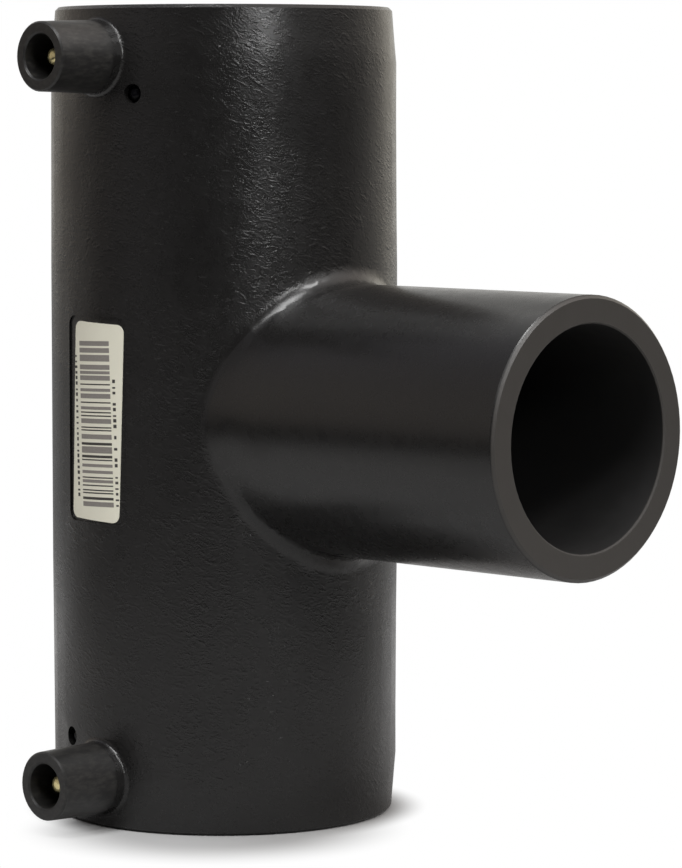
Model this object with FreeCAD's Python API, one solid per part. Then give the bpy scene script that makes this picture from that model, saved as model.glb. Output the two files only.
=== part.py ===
"""Equal tee for joining 63 mm polyethylene pipe by electrofusion.

The run stands upright along Z on its lower rim, with the centre of that rim at the origin.
The branch spigot leaves along +X at mid height. Both terminals stand out along -Y.
All sizes are in millimetres.
"""
import FreeCAD
import Part

import math
import os

# Pipe that the fitting joins
pipe_diameter = 63.0
pipe_wall = 5.8

# Run: two sockets on one axis, a plain cylinder in the middle and a slight draft to each end
run_length = 191.2
socket_wall = 8.95
middle_swell = 0.25
middle_margin = 3.0
taper_length = 13.2
taper_depth = 1.0
rim_bevel = 0.8

# Inside of the run: socket bore up to the pipe stop, then the flow passage between the stops
socket_play = 0.45
socket_depth = 63.0
socket_chamfer = 0.5

# Branch: a pipe-size spigot, slightly drafted past its fusion length, with a rounded saddle
spigot_oversize = 0.2
spigot_wall = 6.3
spigot_draft = 0.25
spigot_length = 65.0
spigot_reach = 115.3
spigot_edge = 0.8
spigot_bore_edge = 0.3
saddle_fillet = 4.5

# Terminal shrouds: short drafted tubes that guard the contact pins
terminal_inset = 11.9
shroud_height = 17.0
shroud_bore = 10.4
shroud_wall = 2.8
shroud_draft = 0.5
shroud_bore_depth = 12.0
shroud_bore_chamfer = 0.4
shroud_edge = 0.4
shroud_fillet = 1.0

# Contact pins: turned brass, moulded into the wall under each shroud
pin_diameter = 4.0
pin_length = 8.5
pin_chamfer = 0.5
pin_root_step = 0.4
pin_root_length = 8.5

# Heating wire: one wire wound in both sockets, moulded in just under the bore
wire_width = 0.8
coil_turns = 5
coil_pitch = 4.8
runs_in_turn = 16
wire_cover = 0.3
wire_clearance = 0.05
chamber_margin = 0.5
link_width = 0.7
link_depth = 0.5

# Fusion indicators: a small domed pin in a blind hole beside each terminal
indicator_inset = 20.3
indicator_angle = 15.6
indicator_hole_diameter = 4.5
indicator_play = 0.4
indicator_bevel = 0.5
indicator_sunk = 0.7
indicator_web = 1.3

# Printed label, stuck a little askew on the floor of a shallow pocket
label_width = 16.5
label_height = 46.0
label_thickness = 0.12
label_corner = 2.0
label_tilt = 2.0
label_sideways = 0.2
label_drop = 0.5
pocket_side_margin = 0.75
pocket_end_margin = 0.2
pocket_depth = 0.4
pocket_corner = 2.5
pocket_sideways = -0.9

# Length by which a cutting tool runs past the surface that it opens
overcut = 5.0

# Distance within which a point counts as lying on a surface
touching = 0.001

up = FreeCAD.Vector(0, 0, 1)
along_branch = FreeCAD.Vector(1, 0, 0)
along_terminal = FreeCAD.Vector(0, -1, 0)
run_centre = FreeCAD.Vector(0, 0, run_length / 2)

socket_bore = pipe_diameter + 2 * socket_play
socket_diameter = socket_bore + 2 * socket_wall
middle_diameter = socket_diameter + 2 * middle_swell
passage_bore = pipe_diameter - 2 * pipe_wall
spigot_diameter = pipe_diameter + spigot_oversize
spigot_root_diameter = spigot_diameter + 2 * spigot_draft
spigot_bore = spigot_diameter - 2 * spigot_wall
middle_length = spigot_root_diameter + 2 * middle_margin
terminal_height = run_length - terminal_inset
shroud_face = socket_diameter / 2 + shroud_height
shroud_floor = shroud_face - shroud_bore_depth
chamber_inner = socket_bore / 2 + wire_cover
coil_inner = (chamber_inner + wire_clearance) / math.cos(math.pi / runs_in_turn)
coil_outer = coil_inner + wire_width
chamber_outer = coil_outer + wire_clearance
coil_length = coil_turns * coil_pitch
coil_bottom = terminal_height - coil_length
link_radius = (coil_inner + coil_outer) / 2
pin_foot = shroud_floor - pin_root_length
tilt = math.radians(label_tilt)
label_across = label_width * math.cos(tilt) + label_height * math.sin(tilt)
label_upright = label_height * math.cos(tilt) + label_width * math.sin(tilt)
pocket_width = label_across + 2 * (abs(label_sideways) + pocket_side_margin)
pocket_height = label_upright + 2 * (abs(label_drop) + pocket_end_margin)


def turned(profile):
    """Solid of revolution about Z from a closed outline of (radius, height) points."""
    points = [FreeCAD.Vector(radius, 0, height) for radius, height in profile]
    face = Part.Face(Part.makePolygon(points + points[:1]))
    return face.revolve(FreeCAD.Vector(), up, 360)


def other_end(shape):
    """The same feature on the other socket: a half turn about the terminals' direction."""
    copy = shape.copy()
    copy.rotate(run_centre, along_terminal, 180)
    return copy


def out_of_wall(shape, height, angle=0.0):
    """Turns a feature made along Z so that it points out of the run at a height and an angle."""
    copy = shape.copy()
    copy.rotate(FreeCAD.Vector(), along_branch, 90)
    copy.rotate(FreeCAD.Vector(), up, angle)
    copy.translate(FreeCAD.Vector(0, 0, height))
    return copy


def run_outside():
    """Outside of the run: bevelled rim, end taper, drafted socket and cylindrical middle."""
    rim = socket_diameter / 2 - taper_depth
    upper = [
        (middle_diameter / 2, run_length / 2 + middle_length / 2),
        (socket_diameter / 2, run_length - taper_length),
        (rim, run_length - rim_bevel),
        (rim - rim_bevel, run_length),
        (0, run_length),
    ]
    lower = [(radius, run_length - height) for radius, height in reversed(upper)]
    return turned(lower + upper)


def branch_outside():
    """Spigot from the run's axis out: drafted root, calibrated length and bevelled end."""
    radius = spigot_diameter / 2
    spigot = turned([
        (0, 0),
        (spigot_root_diameter / 2, 0),
        (radius, spigot_reach - spigot_length),
        (radius, spigot_reach - spigot_edge),
        (radius - spigot_edge, spigot_reach),
        (0, spigot_reach),
    ])
    spigot.rotate(FreeCAD.Vector(), FreeCAD.Vector(0, 1, 0), 90)
    spigot.translate(run_centre)
    return spigot


def shroud_outside():
    """Drafted tube blank of one terminal, from inside the wall to its bevelled face."""
    root = socket_bore / 2 + socket_wall / 2
    corner = shroud_bore / 2 + shroud_wall
    root_radius = corner + shroud_draft * (shroud_face - root) / shroud_height
    blank = turned([
        (0, root),
        (root_radius, root),
        (corner, shroud_face - shroud_edge),
        (corner - shroud_edge, shroud_face),
        (0, shroud_face),
    ])
    return out_of_wall(blank, terminal_height)


def meeting_edges(union, parts):
    """Edges of a union that lie on the skins of all its parts, so where their surfaces meet."""
    found = []
    for edge in union.Edges:
        middle = edge.valueAt((edge.FirstParameter + edge.LastParameter) / 2)
        point = Part.Vertex(middle)
        if all(point.distToShape(part.Shells[0])[0] < touching for part in parts):
            found.append(edge)
    return found


def moulded_outside():
    """Whole outside of the moulding, with rounded saddle and shroud feet."""
    run = run_outside()
    branch = branch_outside()
    outside = run.fuse(branch)
    outside = outside.makeFillet(saddle_fillet, meeting_edges(outside, [run, branch]))
    upper_shroud = shroud_outside()
    for shroud in (upper_shroud, other_end(upper_shroud)):
        joined = outside.fuse(shroud)
        foot = meeting_edges(joined, [outside, shroud])
        outside = joined.makeFillet(shroud_fillet, foot)
    return outside


def run_inside():
    """Cutter for the run: bevelled mouths, sockets, stops and the flow passage between them."""
    radius = socket_bore / 2
    stop = run_length - socket_depth
    mouth = radius + socket_chamfer
    upper = [
        (passage_bore / 2, stop),
        (radius, stop),
        (radius, run_length - socket_chamfer),
        (mouth, run_length),
        (mouth, run_length + overcut),
        (0, run_length + overcut),
    ]
    lower = [(r, run_length - z) for r, z in reversed(upper)]
    return turned(lower + upper)


def winding_chamber():
    """Cutter for the closed ring in the upper socket's wall that the winding fills."""
    rise = wire_width / 2 + chamber_margin
    bottom = coil_bottom - rise
    top = terminal_height + rise
    return turned([
        (chamber_inner, bottom),
        (chamber_outer, bottom),
        (chamber_outer, top),
        (chamber_inner, top),
    ])


def branch_inside():
    """Cutter for the spigot's bore, with its mouth edge just broken."""
    radius = spigot_bore / 2
    bore = turned([
        (0, 0),
        (radius, 0),
        (radius, spigot_reach - spigot_bore_edge),
        (radius + spigot_bore_edge, spigot_reach),
        (radius + spigot_bore_edge, spigot_reach + overcut),
        (0, spigot_reach + overcut),
    ])
    bore.rotate(FreeCAD.Vector(), FreeCAD.Vector(0, 1, 0), 90)
    bore.translate(run_centre)
    return bore


def shroud_inside():
    """Cutter for the blind bore of one shroud, with its chamfered mouth."""
    radius = shroud_bore / 2
    mouth = radius + shroud_bore_chamfer
    bore = turned([
        (0, shroud_floor),
        (radius, shroud_floor),
        (radius, shroud_face - shroud_bore_chamfer),
        (mouth, shroud_face),
        (mouth, shroud_face + overcut),
        (0, shroud_face + overcut),
    ])
    return out_of_wall(bore, terminal_height)


def terminal_pin():
    """Contact pin: bevelled tip, and a thicker root moulded in flush with the shroud's floor."""
    radius = pin_diameter / 2
    tip = shroud_floor + pin_length
    pin = turned([
        (0, pin_foot),
        (radius + pin_root_step, pin_foot),
        (radius + pin_root_step, shroud_floor),
        (radius, shroud_floor),
        (radius, tip - pin_chamfer),
        (radius - pin_chamfer, tip),
        (0, tip),
    ])
    return out_of_wall(pin, terminal_height)


def indicator_height():
    return run_length - indicator_inset


def indicator_floor():
    return chamber_outer + indicator_web


def indicator_hole():
    """Blind hole down to the thin web over the winding."""
    length = middle_diameter / 2 + overcut - indicator_floor()
    hole = Part.makeCylinder(
        indicator_hole_diameter / 2, length, FreeCAD.Vector(0, 0, indicator_floor()), up
    )
    return out_of_wall(hole, indicator_height(), indicator_angle)


def indicator_pin():
    """Bevelled pin standing on the hole's floor, its top a little below the run's surface."""
    radius = indicator_hole_diameter / 2 - indicator_play
    floor = indicator_floor()
    top = socket_diameter / 2 - indicator_sunk
    pin = turned([
        (0, floor),
        (radius, floor),
        (radius, top - indicator_bevel),
        (radius - indicator_bevel, top),
        (0, top),
    ])
    return out_of_wall(pin, indicator_height(), indicator_angle)


def coil():
    """The winding in the upper socket: square wire laid as a helix of short straight runs."""
    half = wire_width / 2
    sections = []
    for step in range(coil_turns * runs_in_turn + 1):
        height = coil_bottom + step * coil_pitch / runs_in_turn
        corners = [
            FreeCAD.Vector(coil_inner, 0, height - half),
            FreeCAD.Vector(coil_outer, 0, height - half),
            FreeCAD.Vector(coil_outer, 0, height + half),
            FreeCAD.Vector(coil_inner, 0, height + half),
        ]
        section = Part.makePolygon(corners + corners[:1])
        section.rotate(FreeCAD.Vector(), up, step * 360 / runs_in_turn - 90)
        sections.append(section)
    return Part.makeLoft(sections, True, True)


def strand(low, high, gap):
    """Straight length of wire as a box between two corners, grown by a gap on every side."""
    grown = FreeCAD.Vector(gap, gap, gap)
    low = low - grown
    size = high + grown - low
    return Part.makeBox(size.x, size.y, size.z, low)


def link(gap=0.0):
    """Straight wire between the two windings, buried in the wall past the stops."""
    half_width = link_width / 2
    half_depth = link_depth / 2
    low = FreeCAD.Vector(-half_width, -link_radius - half_depth, run_length - coil_bottom)
    high = FreeCAD.Vector(half_width, -link_radius + half_depth, coil_bottom)
    return strand(low, high, gap)


def lead(gap=0.0):
    """Short straight wire from the foot of the contact pin to the start of the winding."""
    half = link_depth / 2
    low = FreeCAD.Vector(-half, -pin_foot, terminal_height - half)
    high = FreeCAD.Vector(half, -link_radius, terminal_height + half)
    return strand(low, high, gap)


def heating_wire():
    """The whole wire: lead, winding, link, winding and lead, in one piece."""
    winding = coil()
    upper_lead = lead()
    wire = winding.fuse([other_end(winding), link(), upper_lead, other_end(upper_lead)])
    return wire.removeSplitter()


def rounded_plate(width, height, corner):
    """Rectangle with round corners, made thick enough to pass through the run's front wall."""
    depth = middle_diameter
    plate = Part.makeBox(
        width, depth, height, FreeCAD.Vector(-width / 2, -depth, -height / 2)
    )
    upright = [edge for edge in plate.Edges if abs(edge.tangentAt(edge.FirstParameter).y) > 0.99]
    return plate.makeFillet(corner, upright)


def shell(inner_radius, outer_radius):
    """Tube about the run's axis, used to give flat outlines the run's curve."""
    outer = Part.makeCylinder(outer_radius, run_length)
    return outer.cut(Part.makeCylinder(inner_radius, run_length))


def label_pocket():
    """Cutter for the label's pocket: its floor follows the run at an even depth."""
    floor = middle_diameter / 2 - pocket_depth
    plate = rounded_plate(pocket_width, pocket_height, pocket_corner)
    plate.translate(run_centre + FreeCAD.Vector(pocket_sideways, 0, 0))
    return plate.common(shell(floor, middle_diameter / 2 + overcut))


def label():
    """Thin printed label on the pocket's floor."""
    floor = middle_diameter / 2 - pocket_depth
    plate = rounded_plate(label_width, label_height, label_corner)
    plate.rotate(FreeCAD.Vector(), along_terminal, -label_tilt)
    plate.translate(run_centre + FreeCAD.Vector(pocket_sideways + label_sideways, 0, -label_drop))
    return plate.common(shell(floor, floor + label_thickness))


def body():
    """The moulding: outside less every bore, pocket and moulded-in piece."""
    pin = terminal_pin()
    hole = indicator_hole()
    blind_bore = shroud_inside()
    channel = lead(wire_clearance)
    chamber = winding_chamber()
    cutters = [run_inside(), branch_inside(), label_pocket(), link(wire_clearance)]
    for feature in (pin, hole, blind_bore, channel, chamber):
        cutters += [feature, other_end(feature)]
    moulding = moulded_outside().cut(cutters)
    return moulding.removeSplitter()


def one_solid(shape, name):
    """The shape's only solid, or an error that names the piece."""
    if len(shape.Solids) != 1 or not shape.Solids[0].isValid():
        raise ValueError(f"{name} is {len(shape.Solids)} solids or is not valid")
    return shape.Solids[0]


pieces = {
    "body": body(),
    "heating_wire": heating_wire(),
    "terminal_pin_upper": terminal_pin(),
    "terminal_pin_lower": other_end(terminal_pin()),
    "fusion_indicator_upper": indicator_pin(),
    "fusion_indicator_lower": other_end(indicator_pin()),
    "label": label(),
}

os.makedirs("parts", exist_ok=True)
for name, shape in pieces.items():
    solid = one_solid(shape, name)
    solid.exportStep(f"parts/{name}.step")
    print(f"{name}: {solid.Volume:.1f} mm3, {len(solid.Faces)} faces")
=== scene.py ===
"""Black polyethylene tee for electrofusion: finishes, label print and studio, in metres."""
import math
import random

import bpy
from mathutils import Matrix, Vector


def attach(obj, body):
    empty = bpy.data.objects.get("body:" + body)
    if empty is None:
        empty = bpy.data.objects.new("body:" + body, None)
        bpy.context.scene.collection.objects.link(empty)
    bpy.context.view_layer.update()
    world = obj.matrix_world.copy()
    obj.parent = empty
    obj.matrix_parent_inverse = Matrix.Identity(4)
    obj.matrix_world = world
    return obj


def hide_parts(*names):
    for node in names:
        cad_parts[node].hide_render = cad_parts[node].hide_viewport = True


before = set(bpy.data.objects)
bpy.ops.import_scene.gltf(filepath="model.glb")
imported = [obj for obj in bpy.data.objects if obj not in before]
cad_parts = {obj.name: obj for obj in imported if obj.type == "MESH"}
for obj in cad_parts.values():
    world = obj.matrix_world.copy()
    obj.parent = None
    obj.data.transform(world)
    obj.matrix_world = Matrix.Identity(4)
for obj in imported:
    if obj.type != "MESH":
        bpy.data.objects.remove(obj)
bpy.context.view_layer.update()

# Moulded body: one injection moulding in black polyethylene, run, spigot and shrouds in one.
# The run keeps a fine leathery skin from the mould, the spigot and the bores come out smoother,
# and the buried winding raises low ridges on the bore of each socket.
run_length = 0.1912
run_skin_radius = 0.0417
run_skin_fade = 0.0004
inner_skin_radius = 0.036
socket_bore_radius = 0.03195
winding_pitch = 0.0048
winding_span = (0.0119, 0.0359)
winding_rise = 0.00025
leather_depth = 0.0002
leather_strength = 0.85
added_roughness = 0.16
spigot_end = 0.1153
spigot_bore_radius = 0.0253
spigot_bore_start = 0.03
shroud_start = 0.0425
soft_edge = 0.001
plastic_tone = (0.0085, 0.0081, 0.0079)
# Painted light: the bore is painted lighter and bluer than the body, standing in for the dim light seen
# down it.
bore_painted_light_tone = (0.02, 0.019, 0.025)
cut_face_tone = (0.036, 0.033, 0.03)
scuff_tone = (0.024, 0.023, 0.021)
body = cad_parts["body"]
weld = body.modifiers.new("weld", "WELD")
weld.merge_threshold = 0.000004
crisp = body.modifiers.new("crisp_edges", "EDGE_SPLIT")
crisp.split_angle = math.radians(25)
even = body.modifiers.new("even_shading", "WEIGHTED_NORMAL")
even.keep_sharp = True


def new_finish(name, colour, roughness):
    """A material of an even colour with its principled shader, and the tree to build the finish in."""
    finish = bpy.data.materials.new(name)
    finish.use_nodes = True
    shader = finish.node_tree.nodes["Principled BSDF"]
    shader.inputs["Base Color"].default_value = (*colour, 1)
    shader.inputs["Roughness"].default_value = roughness
    return finish, finish.node_tree, shader


def step(tree, kind, links=(), **settings):
    """One node: settings are its options, links are (input, value or other node's output)."""
    made = tree.nodes.new(kind)
    for option, value in settings.items():
        setattr(made, option, value)
    for socket, value in links:
        if isinstance(value, bpy.types.NodeSocket):
            tree.links.new(value, made.inputs[socket])
        else:
            made.inputs[socket].default_value = value
    return made


def worked(tree, operation, first, second=0.0, third=0.0, clamp=False):
    """One arithmetic step between outputs or plain numbers."""
    links = ((0, first), (1, second), (2, third))
    made = step(tree, "ShaderNodeMath", links, operation=operation, use_clamp=clamp)
    return made.outputs[0]


def between(tree, value, low, high):
    """Soft ramp from 0 at low to 1 at high."""
    links = (("Value", value), ("From Min", low), ("From Max", high))
    made = step(tree, "ShaderNodeMapRange", links, interpolation_type="SMOOTHSTEP")
    return made.outputs["Result"]


def blended(tree, amount, first, second):
    """Colour from the first to the second by an amount, each an output or three numbers."""
    ends = [end if isinstance(end, bpy.types.NodeSocket) else (*end, 1) for end in (first, second)]
    links = ((0, amount), ("A", ends[0]), ("B", ends[1]))
    return step(tree, "ShaderNodeMix", links, data_type="RGBA").outputs["Result"]


def on_piece(tree):
    """The place of each point on its piece, in metres."""
    return step(tree, "ShaderNodeTexCoord").outputs["Object"]


def speckle(tree, place, waves, detail, roughness, distortion=0.0, kind="FBM"):
    """Noise at a number of waves to the metre."""
    links = (
        ("Vector", place),
        ("Scale", waves),
        ("Detail", detail),
        ("Roughness", roughness),
        ("Distortion", distortion),
    )
    return step(tree, "ShaderNodeTexNoise", links, noise_type=kind).outputs[0]


def stretched(tree, place, factors):
    """The same place with each direction scaled by its own factor."""
    links = (("Vector", place), ("Scale", factors))
    return step(tree, "ShaderNodeMapping", links).outputs[0]


def raised(tree, height, depth, strength, under=None):
    """Relief of a depth in metres, laid over the relief under it."""
    links = [("Height", height), ("Distance", depth), ("Strength", strength)]
    if under is not None:
        links.append(("Normal", under))
    return step(tree, "ShaderNodeBump", links).outputs[0]


def places_on_body(tree):
    """Where a point of the body lies, with a mask for each of its differently made faces."""
    place = on_piece(tree)
    parts = step(tree, "ShaderNodeSeparateXYZ", ((0, place),)).outputs
    x, y, z = parts["X"], parts["Y"], parts["Z"]
    x_squared = worked(tree, "MULTIPLY", x, x)
    y_squared = worked(tree, "MULTIPLY", y, y)
    radius = worked(tree, "SQRT", worked(tree, "ADD", x_squared, y_squared))
    above_branch = worked(tree, "SUBTRACT", z, run_length / 2)
    height_squared = worked(tree, "MULTIPLY", above_branch, above_branch)
    off_branch = worked(tree, "SQRT", worked(tree, "ADD", y_squared, height_squared))

    outside = between(tree, radius, inner_skin_radius, inner_skin_radius + soft_edge)
    on_run = between(tree, radius, run_skin_radius, run_skin_radius - run_skin_fade)
    in_spigot = between(tree, off_branch, spigot_bore_radius + 0.0005, spigot_bore_radius + 0.0002)
    past_run = between(tree, x, spigot_bore_start, spigot_bore_start + 0.01)
    forward = worked(tree, "MULTIPLY", y, -1.0)
    return {
        "place": place,
        "z": z,
        "radius": radius,
        "turn": worked(tree, "ARCTAN2", y, x),
        "from_end": worked(tree, "MINIMUM", z, worked(tree, "SUBTRACT", run_length, z)),
        "outside": outside,
        "leathery": worked(tree, "MULTIPLY", on_run, outside),
        "faced": between(tree, x, spigot_end - 0.0007, spigot_end - 0.0004),
        "in_bore": worked(tree, "MULTIPLY", in_spigot, past_run),
        "on_shroud": between(tree, forward, shroud_start, shroud_start + soft_edge),
    }


def winding_ridges(tree, at, under):
    """Low ridges that the turns of the buried wire raise on the bore of each socket."""
    first, last = winding_span
    past_first = between(tree, at["from_end"], first - soft_edge, first)
    before_last = between(tree, at["from_end"], last + soft_edge, last)
    on_bore = between(tree, at["radius"], socket_bore_radius + 0.0003, socket_bore_radius + 0.0001)
    wave = worked(tree, "MULTIPLY_ADD", at["z"], 2 * math.pi / winding_pitch, at["turn"])
    crest = worked(tree, "MULTIPLY_ADD", worked(tree, "COSINE", wave), 0.5, 0.5)
    in_zone = worked(tree, "MULTIPLY", past_first, before_last)
    ridge = worked(tree, "MULTIPLY", worked(tree, "POWER", crest, 3.0), in_zone)
    ridge = worked(tree, "MULTIPLY", ridge, on_bore)
    return raised(tree, ridge, winding_rise, strength=1.0, under=under)


def leathery_skin(tree, at, under):
    """Short creases in two directions over a fine grain, deeper in some patches than in others."""
    round_run = worked(tree, "MULTIPLY", at["turn"], run_skin_radius)
    links = ((0, round_run), (1, at["z"]), (2, at["radius"]))
    unrolled = step(tree, "ShaderNodeCombineXYZ", links).outputs[0]

    def creases(lean, waves, stretch):
        """Creases that lean by an angle in degrees, on the skin of the run laid out flat."""
        links = (("Vector", unrolled), ("Rotation", (0, 0, math.radians(lean))))
        leaning = step(tree, "ShaderNodeMapping", links).outputs[0]
        drawn_out = stretched(tree, leaning, (stretch, 1, 1))
        return speckle(tree, drawn_out, waves, 3, 0.6, 0.7, "RIDGED_MULTIFRACTAL")

    slanted = creases(lean=32, waves=950, stretch=0.4)
    level = creases(lean=6, waves=1150, stretch=0.45)
    grain = speckle(tree, at["place"], waves=2600, detail=2, roughness=0.6)
    half_grain = worked(tree, "MULTIPLY", grain, 0.5)
    height = worked(tree, "MULTIPLY_ADD", worked(tree, "ADD", slanted, level), 0.5, half_grain)
    patches = between(tree, speckle(tree, at["place"], waves=45, detail=2, roughness=0.5), 0.38, 0.62)
    amount = worked(tree, "MULTIPLY_ADD", patches, 0.5, 0.5)
    height = worked(tree, "MULTIPLY", height, amount)
    strength = worked(tree, "MULTIPLY", at["leathery"], leather_strength)
    return raised(tree, height, leather_depth, strength, under)


def facing_marks(tree, at, under):
    """Fine marks that the facing cutter leaves on the end of the spigot."""
    marks = speckle(tree, stretched(tree, at["place"], (30, 1, 1)), waves=700, detail=3, roughness=0.7)
    cut_marks = worked(tree, "MULTIPLY", marks, at["faced"])
    return raised(tree, cut_marks, depth=0.00004, strength=0.6, under=under)


def body_gloss(tree, at):
    """Satin that wanders a little, duller on the faced end and the shrouds, dullest in the bore."""
    worn = speckle(tree, at["place"], waves=260, detail=4, roughness=0.6)
    span = (("Value", worn), ("From Min", 0.3), ("From Max", 0.7), ("To Min", 0.24), ("To Max", 0.31))
    satin = step(tree, "ShaderNodeMapRange", span).outputs["Result"]
    dull_faces = worked(tree, "ADD", at["faced"], at["on_shroud"], clamp=True)
    duller = worked(tree, "MULTIPLY_ADD", at["in_bore"], 2.0, dull_faces)
    return worked(tree, "MULTIPLY_ADD", duller, added_roughness, satin)


def body_colour(tree, at):
    """Black throughout, greyer where it is cut or scuffed, and painted lighter and bluer inside the bore
    as painted light for the dim glow seen down it.
    """
    cut = blended(tree, at["faced"], plastic_tone, cut_face_tone)
    # Painted light: inside the run the colour rises to the lighter, bluer bore tone, for the dim light
    # down the bore.
    inside_and_out = blended(tree, at["outside"], bore_painted_light_tone, cut)
    scuffs = speckle(tree, stretched(tree, at["place"], (1, 0.5, 1.5)), waves=800, detail=4, roughness=0.7)
    scuffed = worked(tree, "MULTIPLY", at["on_shroud"], between(tree, scuffs, 0.4, 0.7))
    return blended(tree, scuffed, inside_and_out, scuff_tone)


def black_polyethylene():
    """Satin black plastic: leathery on the run, smooth on the spigot, ridged over the winding."""
    finish, tree, shader = new_finish("black_polyethylene", plastic_tone, 0.3)
    at = places_on_body(tree)
    waviness = speckle(tree, at["place"], waves=70, detail=2, roughness=0.5)
    surface = raised(tree, waviness, depth=0.0002, strength=0.25)
    surface = winding_ridges(tree, at, surface)
    surface = leathery_skin(tree, at, surface)
    surface = facing_marks(tree, at, surface)
    tree.links.new(surface, shader.inputs["Normal"])
    tree.links.new(body_gloss(tree, at), shader.inputs["Roughness"])
    tree.links.new(body_colour(tree, at), shader.inputs["Base Color"])
    return finish


body.data.materials.clear()
body.data.materials.append(black_polyethylene())

# Heating wire: drawn copper alloy wire wound in both sockets and buried under the bore's skin.
# It is moulded in, so only its ridges show, but it keeps a drawn wire's finish for a cut-open view.
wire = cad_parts["heating_wire"]


def drawn_wire():
    """Copper alloy with fine scratches from the die."""
    finish, tree, shader = new_finish("drawn_wire", (0.62, 0.42, 0.27), 0.35)
    shader.inputs["Metallic"].default_value = 1.0
    drawn = speckle(tree, stretched(tree, on_piece(tree), (1, 1, 12)), waves=900, detail=2, roughness=0.5)
    tree.links.new(raised(tree, drawn, depth=0.00003, strength=0.4), shader.inputs["Normal"])
    return finish


wire.data.materials.clear()
wire.data.materials.append(drawn_wire())

# Contact pins: turned brass, one in each shroud, moulded in at the root.
# The tip is turned to a rounded nose, and the shank keeps fine turning marks and a dull skin.
pin_nodes = ("terminal_pin_upper", "terminal_pin_lower")
terminal_inset = 0.0119
terminal_heights = (run_length - terminal_inset, terminal_inset)
pin_radius = 0.002
pin_root_radius = 0.0024
pin_foot = 0.0376
pin_seat = 0.0459
pin_tip = 0.0544
pin_nose = 0.0013
pin_flat = 0.0004


def turned_brass():
    """Brass with turning rings and a little tarnish."""
    finish, tree, shader = new_finish("turned_brass", (0.78, 0.6, 0.3), 0.24)
    shader.inputs["Metallic"].default_value = 0.75
    place = on_piece(tree)
    rings = speckle(tree, stretched(tree, place, (1, 10, 1)), waves=900, detail=2, roughness=0.5)
    tree.links.new(raised(tree, rings, depth=0.00004, strength=0.4), shader.inputs["Normal"])
    tarnish = speckle(tree, place, waves=600, detail=3, roughness=0.6)
    tone = blended(tree, tarnish, (1.0, 0.8, 0.36), (1.0, 0.93, 0.55))
    tree.links.new(tone, shader.inputs["Base Color"])
    return finish


def spun(name, centre, out, profile, finish, sides=48):
    """A turned piece: rings of (radius, reach) pairs along a direction from a centre, ends closed."""
    across = Vector((-out.y, out.x, 0))
    lift = Vector((0, 0, 1))
    points = []
    faces = []
    for ring, (radius, reach) in enumerate(profile):
        for side in range(sides):
            turn = 2 * math.pi * side / sides
            spoke = across * math.cos(turn) + lift * math.sin(turn)
            points.append(centre + out * reach + spoke * radius)
            if ring:
                after = (side + 1) % sides
                low = (ring - 1) * sides
                faces.append((low + side, low + after, low + sides + after, low + sides + side))
    last_ring = (len(profile) - 1) * sides
    faces.append(tuple(range(sides - 1, -1, -1)))
    faces.append(tuple(range(last_ring, last_ring + sides)))
    mesh = bpy.data.meshes.new(name)
    mesh.from_pydata(points, [], faces)
    mesh.materials.append(finish)
    for face in mesh.polygons:
        face.use_smooth = len(face.vertices) == 4
    piece = bpy.data.objects.new(name, mesh)
    bpy.context.scene.collection.objects.link(piece)
    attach(piece, "root")
    return piece


def rounded_end(radius, rounding, rise, top, steps=9):
    """Outline of an end that curves in from its side and finishes flat across the tip."""
    outline = []
    for number in range(steps + 1):
        bend = math.pi / 2 * number / steps
        outline.append((radius - rounding * (1 - math.cos(bend)), top - rise * (1 - math.sin(bend))))
    return outline


brass = turned_brass()
for node, height in zip(pin_nodes, terminal_heights):
    outline = [(pin_root_radius, pin_foot), (pin_root_radius, pin_seat), (pin_radius, pin_seat)]
    outline += rounded_end(pin_radius, pin_radius - pin_flat, pin_nose, pin_tip)
    name = node.replace("terminal", "contact")
    contact = spun(name, Vector((0, 0, height)), Vector((0, -1, 0)), outline, brass)
    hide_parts(node)

# Fusion indicators: small domed polyethylene pins in blind holes beside the terminals, glossy
# because they are moulded apart and fitted later. The melt pushes them up once while the joint is
# welded, and until then they stand sunk in their holes.
indicator_radius = 0.00185
indicator_flat = 0.0001
indicator_foot = 0.0352
indicator_rise = 0.0016
indicator_top = 0.0402
indicator_inset = 0.0203
indicator_angle = 15.6
indicator_places = (
    ("fusion_indicator_upper", run_length - indicator_inset, indicator_angle),
    ("fusion_indicator_lower", indicator_inset, -indicator_angle),
)


def gloss_black():
    """Nearly mirror-smooth black plastic, with the faint flow marks of a tiny moulding."""
    finish, tree, shader = new_finish("glossy_indicator", (0.004, 0.004, 0.005), 0.12)
    shader.inputs["Specular IOR Level"].default_value = 0.1
    flow = speckle(tree, on_piece(tree), waves=900, detail=2, roughness=0.5)
    tree.links.new(raised(tree, flow, depth=0.00002, strength=0.3), shader.inputs["Normal"])
    return finish


indicator_finish = gloss_black()
for node, height, angle in indicator_places:
    lean = math.radians(angle)
    out = Vector((math.sin(lean), -math.cos(lean), 0))
    outline = [(indicator_radius, indicator_foot)]
    outline += rounded_end(
        indicator_radius, indicator_radius - indicator_flat, indicator_rise, indicator_top,
    )
    name = node.replace("fusion", "domed")
    dome = spun(name, Vector((0, 0, height)), out, outline, indicator_finish)
    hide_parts(node)

# Label: matt printed film, stuck by hand a little askew in its shallow pocket.
# The print is a ladder of plain bars with a broken line of short strokes down each side.
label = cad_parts["label"]
label_centre = Vector((-0.0007, 0, run_length / 2 - 0.0005))
label_tilt = math.radians(2.0)
run_middle_radius = 0.04115
pocket_depth = 0.0004
film_thickness = 0.00012
label_face_radius = run_middle_radius - pocket_depth + film_thickness
print_lift = 0.000015
ladder_half_width = 0.0053
ladder_bottom = -0.0197
ladder_top = 0.0192
ladder_margin = 0.0012
dark_share = 0.55
stroke_pitch = 0.0013
stroke_rows = (
    (-0.0069, -0.0175, 0.0172, ()),
    (0.0064, -0.0195, 0.0112, (6, 9, 11, 13, 19)),
)


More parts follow.
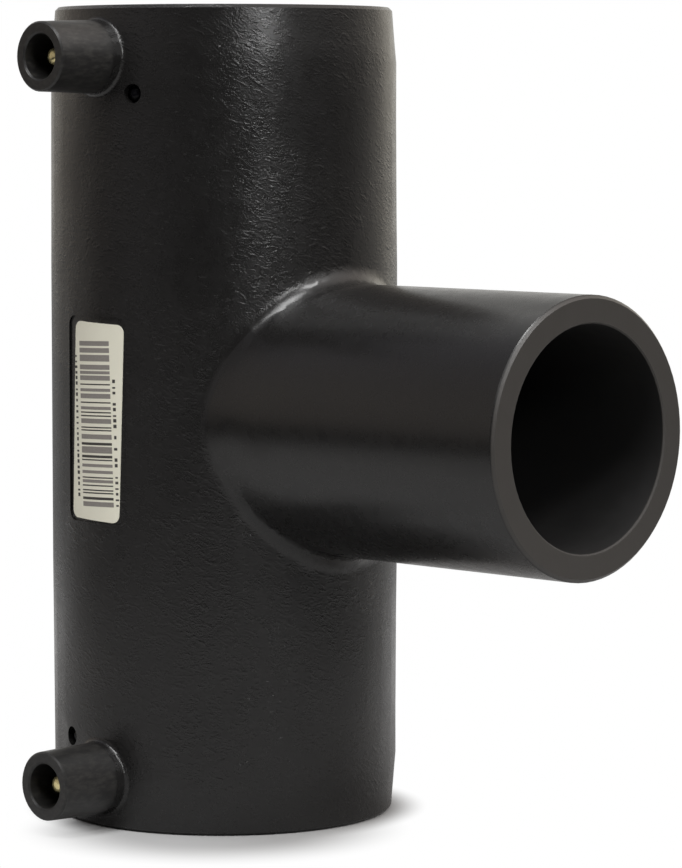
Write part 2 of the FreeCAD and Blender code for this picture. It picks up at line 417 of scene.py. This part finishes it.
def printed_film():
    """Off-white film with a faint fibre and soft mottling."""
    finish, tree, shader = new_finish("label_film", (0.60, 0.58, 0.53), 0.55)
    place = on_piece(tree)
    fibre = speckle(tree, place, waves=1800, detail=3, roughness=0.6)
    tree.links.new(raised(tree, fibre, depth=0.00002, strength=0.3), shader.inputs["Normal"])
    mottling = speckle(tree, place, waves=120, detail=2, roughness=0.5)
    tone = blended(tree, mottling, (0.8, 0.78, 0.65), (0.88, 0.86, 0.72))
    tree.links.new(tone, shader.inputs["Base Color"])
    return finish


label.data.materials.clear()
label.data.materials.append(printed_film())


def on_label(across, along):
    """The point of the film's face at a place measured from the label's middle."""
    x = label_centre.x + across * math.cos(label_tilt) - along * math.sin(label_tilt)
    z = label_centre.z + across * math.sin(label_tilt) + along * math.cos(label_tilt)
    reach = label_face_radius + print_lift
    return Vector((x, -math.sqrt(reach**2 - x**2), z))


def printed_patch(points, faces, left, right, bottom, top, columns=8):
    """Adds one rectangle of ink that follows the film's curve."""
    first = len(points)
    for column in range(columns + 1):
        across = left + (right - left) * column / columns
        points.append(on_label(across, bottom))
        points.append(on_label(across, top))
    for column in range(columns):
        corner = first + 2 * column
        faces.append((corner, corner + 2, corner + 3, corner + 1))


def ink(name, shade):
    """Printing ink: flat, with the film's fibre showing through."""
    finish, tree, shader = new_finish(name, (shade, shade * 0.93, shade * 0.85), 0.6)
    thin = speckle(tree, on_piece(tree), waves=2500, detail=3, roughness=0.6)
    full = (shade * 0.8, shade * 0.75, shade * 0.68)
    faint = (shade * 1.3, shade * 1.2, shade * 1.1)
    tree.links.new(blended(tree, thin, full, faint), shader.inputs["Base Color"])
    return finish


def printed(name, patches, finish):
    """One layer of ink as a mesh that lies on the film."""
    points = []
    faces = []
    for patch in patches:
        printed_patch(points, faces, *patch)
    mesh = bpy.data.meshes.new(name)
    mesh.from_pydata(points, [], faces)
    mesh.materials.append(finish)
    piece = bpy.data.objects.new(name, mesh)
    bpy.context.scene.collection.objects.link(piece)
    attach(piece, "root")


spacing = random.Random(7)
dark_bars = []
grey_bars = []
height = ladder_bottom
while height < ladder_top - ladder_margin:
    gap = spacing.choice((0.00035, 0.0005, 0.0008))
    if spacing.random() < dark_share:
        layer = dark_bars
        thickness = spacing.choice((0.0003, 0.0003, 0.0006))
    else:
        layer = grey_bars
        thickness = spacing.choice((0.0007, 0.0011, 0.0015))
    layer.append((-ladder_half_width, ladder_half_width, height, height + thickness))
    height += thickness + gap
strokes = []
for across, low, high, empty in stroke_rows:
    for place_in_row in range(int((high - low) / stroke_pitch)):
        if place_in_row in empty:
            continue
        foot = low + place_in_row * stroke_pitch
        half_width = spacing.choice((0.0007, 0.00085, 0.00095)) / 2
        stroke = spacing.choice((0.0004, 0.0006, 0.0008))
        strokes.append((across - half_width, across + half_width, foot, foot + stroke, 2))
dark_ink = ink("bar_ink", 0.045)
grey_ink = ink("hatch_ink", 0.24)
printed("label_bars", dark_bars, dark_ink)
printed("label_hatching", grey_bars, grey_ink)
printed("label_side_strokes", strokes, dark_ink)

# Studio: the fitting stands on a white table in a dim room with a white sweep behind it.
# The sweep and the far table are plain white to the camera. Near the foot the camera sees grey paint, a
# painted shadow round a middle just in front of the foot and in a ring about it, which also takes the
# lamps' real soft shadow of the fitting.
camera_azimuth = math.radians(44.638)
behind = Vector((-math.sin(camera_azimuth), math.cos(camera_azimuth), 0))
table_half = 3.0
bounce_tone = 0.45
bounce_span = (0.6, 0.3)
sweep_strength = 0.3
sweep_span = (0.05, 0.3)
lamp_target = Vector((0, 0, 0.12))
# Painted shadow: the table near the foot is grey paint to the camera, and these spans lay out where it
# fades to white.
near_shade_tone = (0.42, 0.42, 0.42, 1)
shade_middle = (0.0197, -0.0227, 0)
shade_span = (0.02, 0.047)
foot_shade_span = (0.038, 0.049)


def white_table():
    """Wide white floor: grey paint near the fitting as a painted shadow, also lit and shaded by the lamps,
    plain white beyond it.
    """
    half = table_half
    mesh = bpy.data.meshes.new("table")
    corners = [(-half, -half, 0), (half, -half, 0), (half, half, 0), (-half, half, 0)]
    mesh.from_pydata(corners, [], [(0, 1, 2, 3)])
    table = bpy.data.objects.new("table", mesh)
    bpy.context.scene.collection.objects.link(table)
    finish, tree, shader = new_finish("white_table", (0.75, 0.75, 0.75), 0.9)
    tree.nodes.remove(shader)
    place = on_piece(tree)

    def measured(operation, links):
        """A length or a product of places, as a plain number."""
        return step(tree, "ShaderNodeVectorMath", links, operation=operation).outputs["Value"]

    reach = measured("LENGTH", ((0, place),))
    beyond = measured("DOT_PRODUCT", ((0, place), (1, behind)))
    off_shade = measured("DISTANCE", ((0, place), (1, shade_middle)))

    paint_tone = worked(tree, "MULTIPLY", between(tree, reach, *bounce_span), bounce_tone)
    paint = step(tree, "ShaderNodeBsdfDiffuse", (("Color", paint_tone),)).outputs[0]
    sweep_tone = worked(tree, "MULTIPLY", between(tree, beyond, *sweep_span), sweep_strength)
    sweep = step(tree, "ShaderNodeEmission", (("Strength", sweep_tone),)).outputs[0]
    lit = step(tree, "ShaderNodeAddShader", ((0, paint), (1, sweep))).outputs[0]

    # Painted shadow: to the camera the table is grey paint round a middle in front of the foot and in a
    # ring about it, fading to white beyond; the lamps' real shadow falls on the grey too.
    near = step(tree, "ShaderNodeBsdfDiffuse", (("Color", near_shade_tone),)).outputs[0]
    plain = step(tree, "ShaderNodeEmission").outputs[0]
    past_foot_shade = between(tree, reach, *foot_shade_span)
    far = worked(tree, "MULTIPLY", between(tree, off_shade, *shade_span), past_foot_shade)
    seen = step(tree, "ShaderNodeMixShader", ((0, far), (1, near), (2, plain))).outputs[0]

    to_camera = step(tree, "ShaderNodeLightPath").outputs["Is Camera Ray"]
    shown = step(tree, "ShaderNodeMixShader", ((0, to_camera), (1, lit), (2, seen))).outputs[0]
    tree.links.new(shown, tree.nodes["Material Output"].inputs["Surface"])
    mesh.materials.append(finish)


white_table()


def side_of_room(turn, rise):
    """Direction from the fitting, in degrees round from the camera and up from the table."""
    around = camera_azimuth + math.radians(turn)
    up = math.radians(rise)
    return Vector((math.sin(around) * math.cos(up), -math.cos(around) * math.cos(up), math.sin(up)))


def soft_lamp(name, turn, rise, distance, size, power):
    """One square softbox that points at the upper half of the run."""
    data = bpy.data.lights.new(name, "AREA")
    data.size = size
    data.energy = power
    lamp = bpy.data.objects.new(name, data)
    bpy.context.scene.collection.objects.link(lamp)
    lamp.location = lamp_target + side_of_room(turn, rise) * distance
    lamp.rotation_euler = (lamp_target - lamp.location).to_track_quat("-Z", "Y").to_euler()


soft_lamp("key_lamp", turn=28, rise=22, distance=0.9, size=0.16, power=1.9)
soft_lamp("high_lamp", turn=42, rise=50, distance=0.9, size=0.16, power=2.6)
soft_lamp("fill_lamp", turn=-15, rise=62, distance=1.0, size=0.4, power=6.8)

world = bpy.data.worlds.new("studio")
bpy.context.scene.world = world
world.use_nodes = True
room = world.node_tree
room_path = step(room, "ShaderNodeLightPath").outputs
room_way = step(room, "ShaderNodeTexCoord").outputs["Generated"]


def vector_of(operation, links):
    """One step between directions or colours of the room."""
    return step(room, "ShaderNodeVectorMath", links, operation=operation).outputs[0]


def soft_patch(turn, rise, spread, colour):
    """Patch of light in the room, brightest in its middle and fading all round."""
    links = ((0, room_way), (1, side_of_room(turn, rise)))
    facing = step(room, "ShaderNodeVectorMath", links, operation="DOT_PRODUCT").outputs["Value"]
    fade = worked(room, "POWER", worked(room, "MAXIMUM", facing), spread)
    return vector_of("SCALE", ((0, colour), ("Scale", fade)))


low_spread = 10
high_spread = 8
window_spread = 30
patches = (
    soft_patch(-60, 8, low_spread, (0.38, 0.36, 0.36)),
    soft_patch(-110, 8, low_spread, (0.50, 0.44, 0.38)),
    soft_patch(-150, 8, low_spread, (0.55, 0.5, 0.42)),
    soft_patch(180, 8, low_spread, (0.32, 0.34, 0.36)),
    soft_patch(150, 8, low_spread, (0.95, 0.88, 0.74)),
    soft_patch(125, 8, low_spread, (0.35, 0.33, 0.3)),
    soft_patch(-120, 45, high_spread, (0.2, 0.2, 0.24)),
    soft_patch(-155, 44, window_spread, (0.9, 0.9, 0.86)),
    soft_patch(115, 45, high_spread, (0.9, 0.8, 0.74)),
    soft_patch(60, 45, high_spread, (1.42, 1.38, 1.36)),
    soft_patch(0, 90, high_spread, (0.5, 0.5, 0.5)),
)
light = patches[0]
for patch in patches[1:]:
    light = vector_of("ADD", ((0, light), (1, patch)))

# The room behind is white to the camera and through gaps, and brighter in shiny surfaces.
seen = worked(room, "ADD", room_path["Is Camera Ray"], room_path["Is Transmission Ray"], clamp=True)
glow = soft_patch(180, 0, low_spread, (0.3, 0.3, 0.3))
mirrored_glow = vector_of("SCALE", ((0, glow), ("Scale", room_path["Is Glossy Ray"])))
light = vector_of("ADD", ((0, light), (1, mirrored_glow)))
backdrop = room.nodes["Background"]
room.links.new(blended(room, seen, light, (1, 1, 1)), backdrop.inputs["Color"])
backdrop.inputs["Strength"].default_value = 1.0

# Camera: a long lens a little under a metre off, level with the upper socket and tipped slightly
# down. It aims beside the run, so that the run stands left and the spigot's mouth right.
camera_rise = 4.877
camera_distance = 0.930156
aim_height = 0.0984
aim_right = 0.027769
aim_up = -0.008506
camera_data = bpy.data.cameras.new("camera")
camera = bpy.data.objects.new("camera", camera_data)
bpy.context.scene.collection.objects.link(camera)
bpy.context.scene.camera = camera
back = side_of_room(0, camera_rise)
right = Vector((math.cos(camera_azimuth), math.sin(camera_azimuth), 0))
upward = back.cross(right)
aim = Vector((0, 0, aim_height)) + right * aim_right + upward * aim_up
camera.location = aim + back * camera_distance
camera.rotation_euler = (-back).to_track_quat("-Z", "Y").to_euler()
camera_data.sensor_width = 36.0
camera_data.lens = 161.44
camera_data.clip_start = 0.01
camera_data.clip_end = 50.0

bpy.context.scene.view_settings.view_transform = "Standard"
